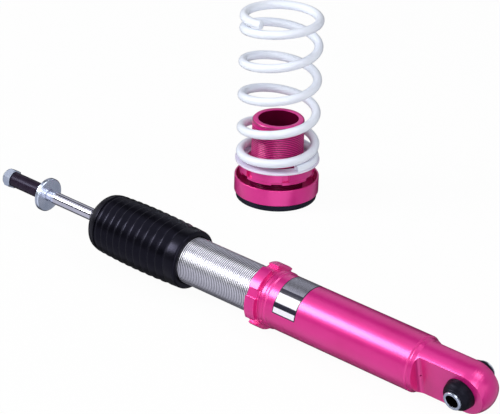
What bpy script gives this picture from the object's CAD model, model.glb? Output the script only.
"""Looks for the rear coilover set: a lying damper and, beside it, its spring on a threaded perch."""
import math

import bmesh
import bpy
from mathutils import Matrix, Vector

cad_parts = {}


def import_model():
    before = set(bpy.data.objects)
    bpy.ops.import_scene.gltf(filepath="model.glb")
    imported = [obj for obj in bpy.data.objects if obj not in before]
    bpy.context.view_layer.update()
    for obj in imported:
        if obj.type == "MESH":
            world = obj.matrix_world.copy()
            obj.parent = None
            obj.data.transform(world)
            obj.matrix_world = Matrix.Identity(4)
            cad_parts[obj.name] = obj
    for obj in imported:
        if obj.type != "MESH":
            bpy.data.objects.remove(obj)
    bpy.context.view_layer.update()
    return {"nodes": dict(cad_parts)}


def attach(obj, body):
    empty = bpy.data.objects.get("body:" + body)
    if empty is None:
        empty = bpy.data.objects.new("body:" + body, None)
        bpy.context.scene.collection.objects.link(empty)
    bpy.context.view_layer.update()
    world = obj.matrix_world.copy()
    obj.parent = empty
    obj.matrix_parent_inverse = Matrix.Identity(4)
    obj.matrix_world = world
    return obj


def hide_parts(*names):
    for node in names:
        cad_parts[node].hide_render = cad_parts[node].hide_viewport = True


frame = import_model()
nodes = frame["nodes"]

MM = 0.001
TAU = 2 * math.pi

# ---------------------------------------------------------------- the CAD's own numbers, in mm
# A place along the damper is its height on the damper's own z axis, which runs towards the eye
BODY_R, LUG_R, LUG_SLOT, STEP_T, LUG_NEAR_T = 26.2, 30.7, 8.8, 35.5, -130.5
LUG_TURN = math.radians(4)
LUG_DROP = LUG_R * math.cos(math.asin(LUG_SLOT / 2 / LUG_R) - LUG_TURN)
TILT = math.atan((LUG_DROP - BODY_R) / (STEP_T - LUG_NEAR_T))
AXIS_H = BODY_R * math.cos(TILT) + STEP_T * math.sin(TILT)
DAMPER = (180.67, -113.65, AXIS_H)
UNIT = (DAMPER[0] - 311.4, DAMPER[1] + 215.8, 0.0)
EYE_T, BUSH_ROLL = 85.7, math.radians(14.8)
PITCH, THREAD_DEPTH, RUN = 2.0, 0.6, 0.05
TUBE_R, TUBE_BORE_R, TUBE_HEAD_T, TUBE_FOOT_T = 22.4, 19.0, -240, 10
TUBE_THREAD_T = (-236, -100)
ROD_R, STUD_R, NECK_R, SPIGOT_R = 6.0, 5.0, 5.45, 4
STUD_END_T, SHOULDER_T, ROD_FOOT_T, SPIGOT_END_T = -471.5, -415, -191.2, -164.5
WASHER_R, WASHER_FACE_T, SLEEVE_R, SLEEVE_END_T, SLEEVE_FOOT_T = 16.4, -419.5, 7.4, -462.4, -419.0
BOOT_R, BOOT_RIBS, SKIRT_R, BOOT_NOSE_T, BOOT_MOUTH_T = 30.0, 10, 28.8, -355.5, -229.0
STOP_R, STOP_BORE_R, STOP_NOSE_T, STOP_FOOT_T = 19, 6.4, -343, -321
BUSH_BORE_R, SLEEVE_WALL_R, BUSH_HALF_L = 6.2, 9.0, 24.9
LABEL_T, LABEL_ARC = (-112.2, -86.4), (4.5, 115.5)
CUP_R, CUP_H, CUP_WALL, CUP_FLOOR, PAD_R, PAD_H, PAD_BORE_R = 42.2, 23.2, 1.8, 3.0, 40.5, 6.5, 20.4
CUP_INSIDE, CUP_BORE_R = PAD_H + CUP_FLOOR, 24.0
PERCH_R, PERCH_BORE_R, PERCH_H, PERCH_FOOT = 26.0, 19.8, 83.9, PAD_H + 1.5
PERCH_THREAD_H = (11, 79)
SEAT_R, SEAT_BORE_R, SEAT_LOW, SEAT_TOP = 42.1, 30.0, 39.72, 41.6
COIL_R, WIRE_R, COIL_TURNS, TIP_A = 36.9, 4.4, 5.825, math.radians(-19.5)
GROUND_H = SEAT_TOP + 0.09


def at(x, y, z):
    return Matrix.Translation((x * MM, y * MM, z * MM))


ON_DAMPER = at(*DAMPER) @ Matrix.Rotation(math.pi / 2 + TILT, 4, "Y")
ON_BUSH = (ON_DAMPER @ at(0, 0, EYE_T) @ Matrix.Rotation(BUSH_ROLL, 4, "Z")
           @ Matrix.Rotation(math.pi / 2, 4, "X"))
ON_UNIT = at(*UNIT)


# ---------------------------------------------------------------- node helpers
class Nodes:
    """A small builder for the node tree of one material or world."""

    def __init__(self, owner, output="ShaderNodeOutputMaterial"):
        self.owner = owner
        owner.use_nodes = True
        self.tree = owner.node_tree
        self.tree.nodes.clear()
        self.out = self.add(output)

    def add(self, kind, sockets=None, **props):
        """A node with its properties set, and its sockets linked or given a value."""
        node = self.tree.nodes.new(kind)
        for name, value in props.items():
            setattr(node, name, value)
        for key, value in (sockets or {}).items():
            self.put(node.inputs[key], value)
        return node

    def put(self, socket, value):
        if isinstance(value, bpy.types.NodeSocket):
            self.tree.links.new(value, socket)
        else:
            socket.default_value = value

    def surface(self, shader):
        """The owner, with the shader as its surface."""
        self.put(self.out.inputs["Surface"], shader)
        return self.owner

    def mapped(self, vector, **sockets):
        return self.add("ShaderNodeMapping", {"Vector": vector, **sockets}, vector_type="POINT").outputs[0]

    def scaled(self, vector, scale):
        return self.mapped(vector, Scale=scale)

    def coords(self, matrix=None):
        """Object coordinates; with a matrix, those of the piece's own axes, for a CAD node."""
        own = self.add("ShaderNodeTexCoord").outputs["Object"]
        if matrix is None:
            return own
        place, turn, _ = matrix.inverted().decompose()
        return self.mapped(own, Rotation=turn.to_euler("XYZ"), Location=place)

    def split(self, vector):
        return self.add("ShaderNodeSeparateXYZ", {0: vector}).outputs

    def math(self, op, a, b=0.0, c=0.0):
        return self.add("ShaderNodeMath", {0: a, 1: b, 2: c}, operation=op).outputs[0]

    def remap(self, value, a, b, lo, hi, smooth=False):
        sockets = {"Value": value, "From Min": a, "From Max": b, "To Min": lo, "To Max": hi}
        kind = "SMOOTHSTEP" if smooth else "LINEAR"
        return self.add("ShaderNodeMapRange", sockets, clamp=True, interpolation_type=kind).outputs["Result"]

    def step(self, value, a, b):
        """0 up to a, 1 from b on."""
        return self.remap(value, a, b, 0.0, 1.0)

    def spread(self, noise):
        """The middle of a noise's range, stretched to 0 to 1."""
        return self.step(noise, 0.35, 0.65)

    def blend(self, a, b, share):
        """The given share of a and the rest of b."""
        return self.math("ADD", self.math("MULTIPLY", a, share), self.math("MULTIPLY", b, 1 - share))

    def mix(self, fac, a, b):
        return self.add("ShaderNodeMix", {"Factor": fac, "A": a, "B": b}, data_type="RGBA").outputs["Result"]

    def noise(self, vector, scale, detail=3.0, rough=0.5):
        sockets = {"Vector": vector, "Scale": scale, "Detail": detail, "Roughness": rough}
        return self.add("ShaderNodeTexNoise", sockets).outputs["Fac"]

    def bump(self, height, strength, distance):
        sockets = {"Height": height, "Strength": strength, "Distance": distance}
        return self.add("ShaderNodeBump", sockets).outputs["Normal"]

    def radius(self, vector):
        """Distance from the local z axis, in mm."""
        x, y, _ = self.split(vector)
        square = self.math("ADD", self.math("MULTIPLY", x, x), self.math("MULTIPLY", y, y))
        return self.math("MULTIPLY", self.math("SQRT", square), 1 / MM)

    def height(self, vector):
        """Place along the local z axis, in mm."""
        return self.math("MULTIPLY", self.split(vector)[2], 1 / MM)

    def outside(self, vector, radius):
        """0 on a bore of this radius in mm, 1 a little further out."""
        return self.step(self.radius(vector), radius + 0.1, radius + 0.5)

    def groove(self, vector, root, crest):
        """1 at a thread's root radius, 0 at its crest and well inside it, both radii in mm."""
        r = self.radius(vector)
        return self.math("MULTIPLY", self.step(r, root - 0.25, root - 0.05),
                         self.remap(r, root + 0.1, crest, 1.0, 0.0))

    def principled(self, **sockets):
        named = {name.replace("_", " "): value for name, value in sockets.items()}
        return self.surface(self.add("ShaderNodeBsdfPrincipled", named).outputs[0])


def material_nodes(name):
    return Nodes(bpy.data.materials.new(name))


def rgb(r, g, b):
    """A colour as read on screen, 0 to 255, turned to the linear values that Blender wants."""
    def linear(c):
        c /= 255
        return c / 12.92 if c <= 0.04045 else ((c + 0.055) / 1.055) ** 2.4
    return (linear(r), linear(g), linear(b), 1.0)


# ---------------------------------------------------------------- materials
PINK_A, PINK_B, PINK_GROOVE = rgb(228, 22, 141), rgb(236, 30, 150), rgb(84, 4, 44)
BORE_DARK, CUP_DARK = rgb(84, 3, 38), rgb(196, 14, 92)
ZINC_LOOK = (rgb(196, 208, 226), rgb(220, 229, 244), 0.22, 0.36)
ZINC_GROOVE, SLEEVE_BORE_DARK = rgb(120, 120, 130), rgb(52, 48, 56)
RUBBER_SHEEN = rgb(214, 212, 255)
FILM_SILVER, FILM_PALE, FILM_NAVY, FILM_WHITE = (rgb(150, 150, 162), rgb(172, 172, 184),
                                                 rgb(26, 24, 44), rgb(226, 226, 236))


def anodised(name, matrix=None, groove=None, lit=None, dark=None):
    """Satin magenta anodised aluminium, with faint turning marks and soft tone changes.

    groove is a thread's root and crest radii in mm. lit gives the share of light that reaches a
    point, from the builder and the coordinates, and dark is the colour where none does.
    """
    n = material_nodes(name)
    c = n.coords(matrix)
    tone = n.noise(c, 30.0, 3.0)
    fine = n.noise(n.scaled(c, (900, 900, 2600)), 1.0, 2.0)
    turned = n.noise(n.scaled(c, (6, 6, 1800)), 1.0, 2.0)
    colour = n.mix(n.spread(tone), PINK_A, PINK_B)
    rough = n.remap(n.math("ADD", fine, turned), 0.6, 1.4, 0.3, 0.38)
    metallic, coat, shine = 0.5, 1.0, 0.25
    if groove:
        colour = n.mix(n.groove(c, *groove), colour, PINK_GROOVE)
    if lit:
        coat = lit(n, c)
        colour = n.mix(n.step(coat, 0.0, 0.5), dark, colour)
        shine = n.math("MULTIPLY", coat, shine)
        metallic = n.math("MULTIPLY", coat, metallic)
    return n.principled(Base_Color=colour, Metallic=metallic, Roughness=rough,
                        Normal=n.bump(n.blend(turned, fine, 0.6), 0.1, 0.0002),
                        Specular_IOR_Level=shine, Coat_Weight=coat, Coat_Roughness=0.28, Coat_IOR=1.6)


def perch_light(n, c):
    """None inside the perch's bore, little down in the cup, more on the threads, most at the rim."""
    cup_h, rim_h = 26.0, 79.0
    height = n.height(c)
    share = n.math("ADD", n.remap(height, cup_h, cup_h + 1, 0.1, 0.55),
                   n.remap(height, rim_h, rim_h + 2, 0.0, 0.25))
    return n.math("MULTIPLY", n.outside(c, PERCH_BORE_R), share)


def cup_light(n, c):
    """All outside the cup, and less and less down the inside."""
    depth = n.remap(n.height(c), CUP_INSIDE - 0.5, CUP_H - 2.0, 0.2, 1.0)
    return n.math("MAXIMUM", n.outside(c, CUP_R - CUP_WALL), depth)


def metal(name, colour_a, colour_b, rough_a, rough_b, grain=(900, 900, 900), bump=0.08, patch=60.0,
          groove=None, bore=None):
    """Plated or turned steel: a mottled tone, fine grain in the roughness and a shallow bump.

    groove is a thread's root and crest radii, and bore that of a dark, unplated bore, all in mm.
    """
    n = material_nodes(name)
    c = n.coords()
    mottle = n.noise(c, patch, 4.0, 0.6)
    fine = n.noise(n.scaled(c, grain), 1.0, 3.0)
    colour = n.mix(n.spread(mottle), colour_a, colour_b)
    if groove:
        colour = n.mix(n.groove(c, *groove), colour, ZINC_GROOVE)
    if bore:
        colour = n.mix(n.step(n.radius(c), bore + 0.05, bore + 0.3), SLEEVE_BORE_DARK, colour)
    rough = n.remap(n.blend(mottle, fine, 0.5), 0.35, 0.65, rough_a, rough_b)
    return n.principled(Base_Color=colour, Metallic=1.0, Roughness=rough, Normal=n.bump(fine, bump, 0.0001))


def rubber(name, colour_a, colour_b, rough_a, rough_b, bump=0.25, shine=0.15):
    """Moulded black rubber or foam: fine pores, a faint dusty tone and a soft sheen."""
    n = material_nodes(name)
    c = n.coords()
    dust = n.noise(c, 45.0, 5.0, 0.65)
    pores = n.noise(c, 2600.0, 2.0)
    return n.principled(Base_Color=n.mix(n.step(dust, 0.4, 0.7), colour_a, colour_b),
                        Roughness=n.remap(n.blend(dust, pores, 0.6), 0.35, 0.65, rough_a, rough_b),
                        Specular_IOR_Level=shine, Specular_Tint=RUBBER_SHEEN,
                        Normal=n.bump(pores, bump, 0.00012))


def powder_coat(name, colour_a, colour_b):
    """White powder coat: faint orange peel and a slight tone drift."""
    n = material_nodes(name)
    c = n.coords()
    peel = n.noise(c, 900.0, 2.0, 0.4)
    return n.principled(Base_Color=n.mix(n.spread(n.noise(c, 25.0, 2.0)), colour_a, colour_b),
                        Roughness=n.remap(peel, 0.3, 0.7, 0.30, 0.40),
                        Normal=n.bump(peel, 0.16, 0.0002), Coat_Weight=0.25, Coat_Roughness=0.2)


def label_film():
    """The wrapped film: plain bands round the body inside a dark border."""
    n = material_nodes("label_film")
    c = n.coords()
    x, y, _ = n.split(c)
    # 0 degrees faces the near side and 90 is up; local -y is near and local -x is up
    angle = n.math("MULTIPLY", n.math("ARCTAN2", n.math("MULTIPLY", x, -1.0), n.math("MULTIPLY", y, -1.0)),
                   360 / TAU)

    def band(value, a, b, soft):
        return n.math("MULTIPLY", n.remap(value, a - soft, a + soft, 0.0, 1.0, True),
                      n.remap(value, b - soft, b + soft, 1.0, 0.0, True))

    first, last = LABEL_ARC[0] + 2, LABEL_ARC[1] - 2
    silver_from = 57.5
    grain = n.noise(n.scaled(c, (300, 300, 2500)), 1.0, 2.0)
    colour = n.mix(n.spread(grain), FILM_SILVER, FILM_PALE)
    for lo, hi, tone in ((47.5, silver_from, FILM_NAVY), (27.5, 47.5, FILM_WHITE),
                         (17.5, 27.5, FILM_NAVY), (7, 17.5, FILM_WHITE)):
        colour = n.mix(band(angle, lo, hi, 0.5), colour, tone)
    inside = n.math("MULTIPLY", band(n.height(c), LABEL_T[0] + 0.9, LABEL_T[1] - 0.9, 0.15),
                    band(angle, first, last, 0.5))
    shine = n.math("MULTIPLY", band(angle, silver_from, last, 0.5), inside)
    return n.principled(Base_Color=n.mix(inside, FILM_NAVY, colour),
                        Metallic=n.math("MULTIPLY", shine, 0.75),
                        Roughness=n.remap(grain, 0.3, 0.7, 0.26, 0.36),
                        Normal=n.bump(grain, 0.05, 0.0001))


PINK_DAMPER = anodised("pink_damper_axis", ON_DAMPER)
PINK_UNIT = anodised("pink_unit_axis", ON_UNIT)
PERCH_PINK = anodised("pink_perch", None, (PERCH_R - THREAD_DEPTH, PERCH_R - 0.15), perch_light, BORE_DARK)
CUP_PINK = anodised("pink_cup", None, None, cup_light, CUP_DARK)
ZINC = metal("zinc_plate", *ZINC_LOOK)
BUSH_ZINC = metal("zinc_sleeve", *ZINC_LOOK, bore=BUSH_BORE_R)
THREAD = metal("thread_zinc", rgb(232, 232, 240), rgb(243, 243, 250), 0.28, 0.36, patch=40.0,
               groove=(TUBE_R - THREAD_DEPTH, TUBE_R - 0.25))
CHROME = metal("rod_chrome", rgb(226, 226, 238), rgb(236, 236, 248), 0.13, 0.17, bump=0.002)
TURNED = metal("turned_steel", rgb(170, 172, 180), rgb(196, 198, 206), 0.26, 0.4,
               grain=(40, 40, 1600), bump=0.15)
BRONZE = metal("bronze", rgb(176, 142, 84), rgb(196, 160, 98), 0.3, 0.45)
BOOT_RUBBER = rubber("boot_rubber", rgb(3, 3, 6), rgb(6, 5, 11), 0.25, 0.35, shine=0.27)
PAD_RUBBER = rubber("pad_rubber", rgb(22, 24, 34), rgb(32, 34, 46), 0.45, 0.6)
BUSH_RUBBER = rubber("bush_rubber", rgb(14, 14, 20), rgb(24, 24, 32), 0.36, 0.5)
SLEEVE_BLACK = rubber("sleeve_black", rgb(30, 22, 34), rgb(44, 34, 50), 0.22, 0.36, bump=0.1)
FOAM = rubber("bump_foam", rgb(196, 184, 140), rgb(214, 202, 160), 0.6, 0.75, bump=0.5)
WHITE = powder_coat("spring_white", rgb(232, 238, 252), rgb(238, 244, 255))
SEAT_WHITE = powder_coat("seat_white", rgb(220, 212, 234), rgb(230, 224, 242))
LABEL = label_film()


# ---------------------------------------------------------------- mesh helpers
def place(name, data, matrix):
    obj = bpy.data.objects.new(name, data)
    bpy.context.scene.collection.objects.link(obj)
    obj.matrix_world = matrix
    return obj


def make(name, shape, matrix, material, body, cad, smooth_deg=35.0):
    """A finished piece: closed mesh, smooth by angle, in place, riding on its body for its CAD node."""
    verts, faces = shape
    mesh = bpy.data.meshes.new(name)
    mesh.from_pydata([tuple(c * MM for c in v) for v in verts], [], faces)
    bm = bmesh.new()
    bm.from_mesh(mesh)
    bmesh.ops.remove_doubles(bm, verts=bm.verts, dist=1e-7)
    bmesh.ops.recalc_face_normals(bm, faces=bm.faces)
    bm.to_mesh(mesh)
    bm.free()
    mesh.validate()
    mesh.shade_smooth()
    mesh.set_sharp_from_angle(angle=math.radians(smooth_deg))
    mesh.materials.append(material)
    obj = place(name, mesh, matrix)
    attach(obj, body)
    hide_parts(cad)


def ring(points, a):
    """Points of a (radius, height) outline, turned by a about the local z axis."""
    return [(r * math.cos(a), r * math.sin(a), z) for r, z in points]


def lathe(profile, segments=144):
    """Vertices and faces of a closed outline of (radius, height) turned about the local z axis."""
    n = len(profile)
    verts, faces = [], []
    for j in range(segments):
        verts += ring(profile, TAU * j / segments)
        k = (j + 1) % segments
        faces += [(j * n + i, k * n + i, k * n + (i + 1) % n, j * n + (i + 1) % n) for i in range(n)]
    return verts, faces


def rounded(points, steps=4):
    """An outline of (r, z, radius) corners, each rounded with its own radius, as (r, z) points."""
    out = []
    for i, (r, z, rad) in enumerate(points):
        corner = Vector((r, z))
        a = Vector(points[i - 1][:2]) - corner
        b = Vector(points[(i + 1) % len(points)][:2]) - corner
        if rad <= 0 or a.length < 1e-6 or b.length < 1e-6:
            out.append((r, z))
            continue
        half = a.angle(b) / 2
        # Neighbouring corners never take more than an edge between them
        reach = min(rad / math.tan(half), a.length * 0.49, b.length * 0.49)
        a.normalize()
        b.normalize()
        centre = corner + (a + b).normalized() * (reach / math.cos(half))
        start, end = corner + a * reach - centre, corner + b * reach - centre
        turn = math.atan2(start.x * end.y - start.y * end.x, start.dot(end))
        for s in range(steps + 1):
            c, w = math.cos(turn * s / steps), math.sin(turn * s / steps)
            out.append((centre.x + start.x * c - start.y * w, centre.y + start.x * w + start.y * c))
    return out


def threaded(before, after, crest, span, segments=144, parts=6):
    """A tube with a true helical thread over a span of heights, parts steps to a turn's profile.

    before and after are the outline's other (radius, height) points: up to the thread, and from its
    end round by way of the bore.
    """
    t0, t1 = span
    turns = round((t1 - t0) / PITCH)
    depths = [THREAD_DEPTH * (0.5 - 0.5 * math.cos(TAU * k / parts)) for k in range(parts)]
    verts, faces = [], []
    for j in range(segments + 1):
        outline = list(before)
        for k in range(-parts, turns * parts + 1):
            t = t0 + k * PITCH / parts + PITCH * j / segments
            fade = min(1.0, max(0.0, (t - t0) / PITCH)) * min(1.0, max(0.0, (t1 - t) / PITCH))
            outline.append((crest - depths[k % parts] * fade, min(max(t, t0), t1)))
        outline += after
        verts += ring(outline, TAU * j / segments)
    n = len(outline)
    for j in range(segments):
        faces += [(j * n + i, (j + 1) * n + i, (j + 1) * n + (i + 1) % n, j * n + (i + 1) % n)
                  for i in range(n)]
    return verts, faces


# ---------------------------------------------------------------- the boot and its bump stop
def rib_groove_t(i):
    """Place of the groove ahead of rib i; the ribs widen a little towards the mouth."""
    return -320.94 + 7.74 * (i - 1) + 0.109 * (i - 1) ** 2


def rib_crest_r(i):
    """Crest radius of rib i: the boot is fullest at rib 5."""
    return BOOT_R - (0.05 * (5 - i) ** 2 if i < 5 else 0.04 * (i - 5) ** 2)


def boot_profile():
    """Outline of the boot: rounded cone nose, ribs with a sharp edge towards the nose, mouth."""
    nose = [(ROD_R + RUN, -351.8), (ROD_R + RUN, -355.2), (6.35, BOOT_NOSE_T), (6.7, BOOT_NOSE_T),
            (7.1, -355.2), (10.7, -351.3), (14.4, -348.2), (18.3, -345.1), (21.8, -342.3),
            (24.2, -340.1), (25.5, -338.8), (26.4, -337.6), (27.0, -336.4), (27.4, -335.2),
            (27.75, -334.0), (28.05, -332.8), (28.3, -331.6), (28.4, -330.6)]
    ribs = []
    for i in range(BOOT_RIBS):
        g, r = rib_groove_t(i), rib_crest_r(i)
        ribs += [(r - 1.75, g - 1.6), (r - 2.15, g - 1.0), (r - 2.5, g - 0.45), (r - 3.0, g - 0.15),
                 (r - 3.0, g + 0.1), (r - 1.9, g + 0.35), (r - 0.7, g + 0.7), (r - 0.15, g + 1.1),
                 (r, g + 1.7), (r - 0.2, g + 2.7), (r - 0.65, g + 4.0), (r - 1.2, g + 5.2)]
    g, r = rib_groove_t(BOOT_RIBS), SKIRT_R
    skirt = [(r - 1.3, g - 1.6), (r - 1.7, g - 0.8), (r - 2.4, g - 0.15), (r - 2.4, g + 0.1),
             (r - 1.2, g + 0.35), (r - 0.3, g + 0.8), (r - 0.05, g + 1.3), (r, g + 2.0),
             (r - 0.2, g + 5.5), (r - 0.45, -231.4), (r - 0.7, -230.2), (r - 1.2, -229.3),
             (26.9, BOOT_MOUTH_T)]
    inside = [(23.6, BOOT_MOUTH_T), (23.0, -229.3), (TUBE_R + 0.5, -230.0), (TUBE_R + 0.5, -235.0),
              (24.0, -236.8), (24.0, -336.5), (22.1, -339.0), (18.9, -342.0), (15.1, -345.0),
              (11.2, -348.1), (7.8, -350.9)]
    return nose + ribs + skirt + inside


BUMP_STOP = [(STOP_BORE_R, STOP_NOSE_T, 0.3), (13, STOP_NOSE_T, 1.0), (STOP_R, -338, 1.2),
             (STOP_R, -335.5, 1.0), (STOP_R - 2, -333.8, 1.0), (STOP_R, -332, 1.0), (STOP_R, -329, 1.5),
             (14.5, -324, 1.5), (10, STOP_FOOT_T, 1), (STOP_BORE_R, STOP_FOOT_T, 0.3)]
make("boot", lathe(boot_profile(), 160), ON_DAMPER, BOOT_RUBBER, "boot", "dust_boot", 60)
make("bump_foam", lathe(rounded(BUMP_STOP), 96), ON_DAMPER, FOAM, "boot", "bump_stop")

# ---------------------------------------------------------------- the tube, the rod and what is on it
TUBE_HEAD = [(TUBE_BORE_R, TUBE_HEAD_T), (TUBE_R - 1.2, TUBE_HEAD_T), (TUBE_R - 0.2, TUBE_HEAD_T + 1.4),
             (TUBE_R - 0.2, TUBE_HEAD_T + 3.0), (TUBE_R, TUBE_HEAD_T + 3.4)]
TUBE_FOOT = [(TUBE_R, TUBE_FOOT_T - 0.5), (TUBE_R - 0.5, TUBE_FOOT_T), (TUBE_BORE_R, TUBE_FOOT_T)]
make("threaded_tube", threaded(TUBE_HEAD, TUBE_FOOT, TUBE_R, TUBE_THREAD_T), ON_DAMPER, THREAD,
     "tube", "damper_tube", 80)

ROD = [(0, STUD_END_T, 0), (STUD_R - 0.9, STUD_END_T, 0.2), (STUD_R, STUD_END_T + 0.8, 0.2),
       (STUD_R, SHOULDER_T, 0), (NECK_R, SHOULDER_T, 0.05), (NECK_R, SHOULDER_T + 6.1, 0.2),
       (ROD_R, SHOULDER_T + 7.0, 0.3), (ROD_R, ROD_FOOT_T, 0), (SPIGOT_R, ROD_FOOT_T, 0),
       (SPIGOT_R, SPIGOT_END_T - 0.3, 0.2), (0, SPIGOT_END_T, 0)]
make("chromed_rod", lathe(rounded(ROD), 96), ON_DAMPER, CHROME, "rod", "piston_rod")

WASHER = [(STUD_R + RUN, SLEEVE_FOOT_T, 0), (SLEEVE_R + RUN, SLEEVE_FOOT_T, 0),
          (SLEEVE_R + RUN, WASHER_FACE_T, 0.1), (WASHER_R - 0.7, WASHER_FACE_T, 0.3),
          (WASHER_R, WASHER_FACE_T + 0.7, 0.3), (WASHER_R, SHOULDER_T - 0.9, 0.4),
          (WASHER_R - 0.9, SHOULDER_T, 0.4), (STUD_R + 0.9, SHOULDER_T, 0.2),
          (STUD_R + RUN, SHOULDER_T - 0.6, 0)]
make("thick_washer", lathe(rounded(WASHER), 128), ON_DAMPER, ZINC, "rod", "top_washer")

SLEEVE = [(STUD_R + RUN, SLEEVE_END_T, 0), (SLEEVE_R - 0.5, SLEEVE_END_T, 0.3),
          (SLEEVE_R, SLEEVE_END_T + 0.5, 0.3), (SLEEVE_R, SLEEVE_FOOT_T, 0.1),
          (STUD_R + RUN, SLEEVE_FOOT_T, 0)]
make("black_sleeve", lathe(rounded(SLEEVE), 96), ON_DAMPER, SLEEVE_BLACK, "rod", "spacer_sleeve")


# ---------------------------------------------------------------- the label and the eye's bush
def film(steps=80):
    """The label's thin curved sheet, between its two edges round the body."""
    (lo, hi), (low_t, high_t) = LABEL_ARC, LABEL_T
    inner, outer = BODY_R + 0.01, BODY_R + 0.17
    section = [(inner, low_t), (outer, low_t + 0.1), (outer, high_t - 0.1), (inner, high_t)]
    verts, faces = [], [(0, 1, 2, 3), tuple(steps * 4 + i for i in (3, 2, 1, 0))]
    for j in range(steps + 1):
        verts += ring(section, math.radians(270 - (lo + (hi - lo) * j / steps)))
    for j in range(steps):
        faces += [(j * 4 + i, (j + 1) * 4 + i, (j + 1) * 4 + (i + 1) % 4, j * 4 + (i + 1) % 4)
                  for i in range(4)]
    return verts, faces


def mirrored(half):
    """An outline of (r, z, radius) corners and its mirror image below z = 0."""
    return [(r, -z, rad) for r, z, rad in half] + half[::-1]


BUSH_HALF = [(SLEEVE_WALL_R + RUN, 23.0, 0.1), (10.2, 22.7, 0.3), (10.7, 21.9, 0.4), (11.6, 21.1, 0.6),
             (12.8, 19.9, 1.0), (13.7, 18.2, 1.0), (14.2, 16.0, 1.0), (14.5, 14.0, 1.0),
             (14.98, 12.1, 0)]
BUSH_SLEEVE_HALF = [(BUSH_BORE_R, BUSH_HALF_L - 0.5, 0.2), (BUSH_BORE_R + 0.5, BUSH_HALF_L, 0.1),
                    (SLEEVE_WALL_R - 0.4, BUSH_HALF_L, 0.3), (SLEEVE_WALL_R, BUSH_HALF_L - 0.4, 0.3)]
make("label_sheet", film(), ON_DAMPER, LABEL, "mount", "label")
make("bush_rubber_ring", lathe(rounded(mirrored(BUSH_HALF)), 96), ON_BUSH, BUSH_RUBBER,
     "mount", "eye_bush_rubber", 50)
make("bush_steel_sleeve", lathe(rounded(mirrored(BUSH_SLEEVE_HALF)), 96), ON_BUSH, BUSH_ZINC,
     "bush_sleeve", "eye_bush_sleeve")

# ---------------------------------------------------------------- the spring unit
PAD = [(PAD_BORE_R, 0, 0.3), (PAD_R - 0.3, 0, 0.8), (PAD_R, 2.4, 0.6), (PAD_R - 0.1, PAD_H, 0.3),
       (PAD_BORE_R, PAD_H, 0.3)]
make("pad", lathe(rounded(PAD), 160), ON_UNIT, PAD_RUBBER, "spring_unit", "base_pad")

CUP = [(CUP_BORE_R, PAD_H, 0.1), (CUP_R - 0.5, PAD_H, 0.2), (CUP_R, PAD_H + 0.5, 0.5),
       (CUP_R, CUP_H, 0.5), (CUP_R - CUP_WALL, CUP_H, 0.4), (CUP_R - CUP_WALL, CUP_INSIDE, 1.2),
       (PERCH_R + 0.02, CUP_INSIDE, 0.1), (PERCH_R + 0.02, PERCH_FOOT, 0), (CUP_BORE_R, PERCH_FOOT, 0)]
make("cup", lathe(rounded(CUP), 160), ON_UNIT, CUP_PINK, "spring_unit", "base_cup")

PERCH_LOW = [(PERCH_BORE_R, PERCH_FOOT), (PERCH_R, PERCH_FOOT), (PERCH_R, PERCH_THREAD_H[0] - 0.5)]
PERCH_RIM = [(PERCH_R - 0.25, PERCH_H - 3.6), (PERCH_R - 0.25, PERCH_H - 1.8),
             (PERCH_R - 0.5, PERCH_H - 1.1), (PERCH_R - 1.5, PERCH_H - 0.1), (PERCH_R - 1.8, PERCH_H),
             (PERCH_BORE_R + 0.9, PERCH_H), (PERCH_BORE_R + 0.6, PERCH_H - 0.1),
             (PERCH_BORE_R, PERCH_H - 0.8)]
make("perch", threaded(PERCH_LOW, PERCH_RIM, PERCH_R, PERCH_THREAD_H), ON_UNIT, PERCH_PINK,
     "spring_unit", "perch_tube", 80)

SEAT = [(SEAT_BORE_R, SEAT_LOW, 0.2), (SEAT_R, SEAT_LOW, 0.4), (SEAT_R, SEAT_TOP, 0.6),
        (SEAT_BORE_R, SEAT_TOP, 0.4)]
make("seat_disc", lathe(rounded(SEAT), 160), ON_UNIT, SEAT_WHITE, "spring_seat", "seat_ring")

# The spring's wire climbs by COIL_PITCH mm a turn, and each bend changes that by its last number
COIL_FOOT_H, COIL_PITCH = 42.75, 7.1
COIL_BENDS = [(0.7, 0.4, 23.2), (1.33, 0.4, 4.8), (4.78, 0.3, -32), (5.4, 0.2, 9)]


def ramp(x, width):
    """0 up to x = 0, then a bend of this width into a slope of 1."""
    if x <= 0:
        return 0.0
    return x * x / (2 * width) if x < width else x - width / 2


def coil_point(t):
    """The wire's centre after t turns."""
    a = TIP_A + TAU * t
    h = COIL_FOOT_H + COIL_PITCH * t + sum(rise * ramp(t - turn, width) for turn, width, rise in COIL_BENDS)
    return Vector((COIL_R * math.cos(a), COIL_R * math.sin(a), h))


def coil(sides=24, rings=440):
    """One round wire, cut square at both ends with a small broken edge, its bottom turn ground flat."""
    edge_turns, edge_r = 0.0012, WIRE_R - 0.4
    stations = [(0.0, edge_r), (edge_turns, WIRE_R)]
    stations += [(COIL_TURNS * i / rings, WIRE_R) for i in range(1, rings)]
    stations += [(COIL_TURNS - edge_turns, WIRE_R), (COIL_TURNS, edge_r)]
    verts, faces = [], []
    for t, r in stations:
        along = (coil_point(t + 0.002) - coil_point(t - 0.002)).normalized()
        up = along.cross(Vector((0, 0, 1)).cross(along)).normalized()
        out = along.cross(up)
        for k in range(sides):
            q = TAU * k / sides
            p = coil_point(t) + r * (math.sin(q) * out + math.cos(q) * up)
            verts.append((p.x, p.y, max(p.z, GROUND_H)))
    last = len(stations) - 1
    for i in range(last):
        for k in range(sides):
            k2 = (k + 1) % sides
            faces.append((i * sides + k, (i + 1) * sides + k, (i + 1) * sides + k2, i * sides + k2))
    faces += [tuple(range(sides)), tuple(last * sides + k for k in reversed(range(sides)))]
    return verts, faces


make("coil", coil(), ON_UNIT, WHITE, "spring", "coil_spring")


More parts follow.
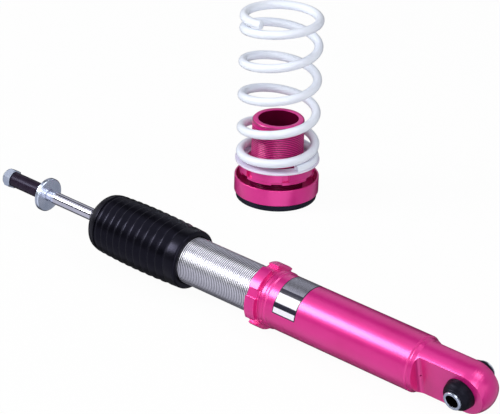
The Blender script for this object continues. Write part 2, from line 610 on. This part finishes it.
# ---------------------------------------------------------------- CAD nodes that keep their shape
def dress(material, *names):
    for name in names:
        mesh = nodes[name].data
        mesh.materials.clear()
        mesh.materials.append(material)
        mesh.shade_smooth()
        mesh.set_sharp_from_angle(angle=math.radians(30))


dress(PINK_DAMPER, "lower_mount", "mount_eye", "lock_collar")
dress(PINK_UNIT, "perch_collar", "perch_lock_ring")
dress(ZINC, "top_nut", "piston_nut")
dress(TURNED, "rod_guide", "tube_end_plug", "floating_piston", "piston", "compression_shims",
      "rebound_shims")
dress(BRONZE, "gas_valve_screw", "piston_band")
dress(BUSH_RUBBER, "rod_seal", "wiper", "floating_piston_ring", "rebound_stop")

# ---------------------------------------------------------------- floor and light, in metres
FLOOR_HALF, FLOOR_GREY = 30.0, 0.84
FLOOR_GLOW_SEEN = 0.96  # share of the floor's own white that the camera sees
WORLD_LIGHT = 0.36
WHITE_LIGHT = (1, 1, 1, 1)
MIDDLE = Vector((0, -0.1, 0.03))
KEY_SHARE, KEY_PHI, KEY_AWAY = -0.58, 46, 2.6
CARD_AWAY, CARD_BLUE = 3.0, 1.12


def floor():
    s = FLOOR_HALF
    mesh = bpy.data.meshes.new("floor")
    mesh.from_pydata([(-s, -s, 0), (s, -s, 0), (s, s, 0), (-s, s, 0)], [], [(0, 1, 2, 3)])
    n = material_nodes("floor_paper")
    seen = n.add("ShaderNodeLightPath").outputs["Is Camera Ray"]
    paper = n.add("ShaderNodeBsdfDiffuse", {"Color": (FLOOR_GREY, FLOOR_GREY, FLOOR_GREY, 1)})
    glow = n.add("ShaderNodeEmission", {"Color": WHITE_LIGHT})
    shown = {0: n.math("MULTIPLY", seen, FLOOR_GLOW_SEEN), 1: paper.outputs[0], 2: glow.outputs[0]}
    mesh.materials.append(n.surface(n.add("ShaderNodeMixShader", shown).outputs[0]))
    obj = place("floor", mesh, Matrix.Translation((0, 0, -0.0002)))
    # Metal mirrors the graded cards below instead, so that the floor isn't an even white in it
    obj.visible_glossy = False


def world():
    """White to the camera, mirrors and glass; a plain level of light on everything else."""
    studio = bpy.data.worlds.new("studio")
    bpy.context.scene.world = studio
    n = Nodes(studio, "ShaderNodeOutputWorld")
    paths = n.add("ShaderNodeLightPath").outputs
    direct = n.math("MAXIMUM", n.math("MAXIMUM", paths["Is Camera Ray"], paths["Is Glossy Ray"]),
                    paths["Is Transmission Ray"])
    strength = n.remap(direct, 0.0, 1.0, WORLD_LIGHT, 1.0)
    n.surface(n.add("ShaderNodeBackground", {"Color": WHITE_LIGHT, "Strength": strength}).outputs[0])


def softbox(name, at_point, aim, size, watts, first_side=None):
    """A rectangular lamp; first_side is the direction that its first size runs along."""
    light = bpy.data.lights.new(name, "AREA")
    light.shape = "RECTANGLE"
    light.size, light.size_y = size
    light.energy = watts
    away = (Vector(at_point) - Vector(aim)).normalized()
    x = (first_side or Vector((0, 0, 1)).cross(away)).normalized()
    y = away.cross(x).normalized()
    axes = Matrix((y.cross(away), y, away)).transposed()
    place(name, light, Matrix.Translation(at_point) @ axes.to_4x4())


def way(x, phi):
    """Direction with the given share along +X, turned by phi about X: 0 is near, 90 is up."""
    q = math.radians(phi)
    r = math.sqrt(1 - x * x)
    return Vector((x, -r * math.cos(q), r * math.sin(q)))


def card(name, phi_0, phi_1, tone, x_0=-0.93, x_1=0.93):
    """A curved studio card that only reflections see: it gives the metal its darker bands."""
    across, along = 10, 8
    verts = [way(x_0 + (x_1 - x_0) * j / along, phi_0 + (phi_1 - phi_0) * i / across) * CARD_AWAY
             for i in range(across + 1) for j in range(along + 1)]
    corners = [i * (along + 1) + j for i in range(across) for j in range(along)]
    mesh = bpy.data.meshes.new(name)
    mesh.from_pydata(verts, [], [(k, k + 1, k + along + 2, k + along + 1) for k in corners])
    n = material_nodes(name + "_cloth")
    glow = n.add("ShaderNodeEmission", {"Color": (tone, tone, tone * CARD_BLUE, 1)})
    mesh.materials.append(n.surface(glow.outputs[0]))
    obj = place(name, mesh, Matrix.Translation(MIDDLE))
    obj.visible_camera = obj.visible_diffuse = obj.visible_shadow = False
    obj.visible_transmission = False


floor()
world()
softbox("key", way(KEY_SHARE, KEY_PHI) * KEY_AWAY + MIDDLE, MIDDLE, (0.95, 1.2), 42,
        way(KEY_SHARE, KEY_PHI + 1) - way(KEY_SHARE, KEY_PHI - 1))
softbox("fill", (1.7, -1.9, 1.3), (0, 0, 0.03), (1.7, 1.7), 28)
softbox("top", (1.3, 0.14, 2.18), (0.27, -0.11, 0.03), (1.1, 1.1), 11)
card("card_under", -112, -72, 0.12, -1.0, 1.0)
card("card_floor_left", -72, 1, 0.55, -1.0, 0.3)
card("card_floor_right", -72, 1, 0.95, 0.3, 1.0)
card("card_low", 2, 32, 0.03)
card("card_mid", 32, 99, 0.6)
card("card_high", 99, 122, 0.03)
card("card_back", 122, 163, 0.4)
card("card_far_left", 163, 249, 0.03, -1.0, 0.1)
card("card_far_right", 163, 249, 0.35, 0.1, 1.0)

# ---------------------------------------------------------------- camera
CAMERA_AT = Vector((DAMPER[0] + 1148.29, DAMPER[1] - 1557.04, 1080.38)) * MM
# The way from the object to the camera, in degrees, and the camera's own roll
CAMERA_AZIMUTH, CAMERA_ELEVATION, CAMERA_ROLL = -49.8953, 25.497, 1.7459
SENSOR_MM, LENS_MM = 36.0, 182.34


def camera():
    data = bpy.data.cameras.new("camera")
    data.sensor_width = SENSOR_MM
    data.lens = LENS_MM
    data.clip_end = 100.0
    turn = (Matrix.Rotation(math.radians(CAMERA_AZIMUTH + 90), 4, "Z")
            @ Matrix.Rotation(math.radians(90 - CAMERA_ELEVATION), 4, "X")
            @ Matrix.Rotation(math.radians(CAMERA_ROLL), 4, "Z"))
    bpy.context.scene.camera = place("camera", data, Matrix.Translation(CAMERA_AT) @ turn)


camera()
bpy.context.scene.view_settings.view_transform = "Standard"
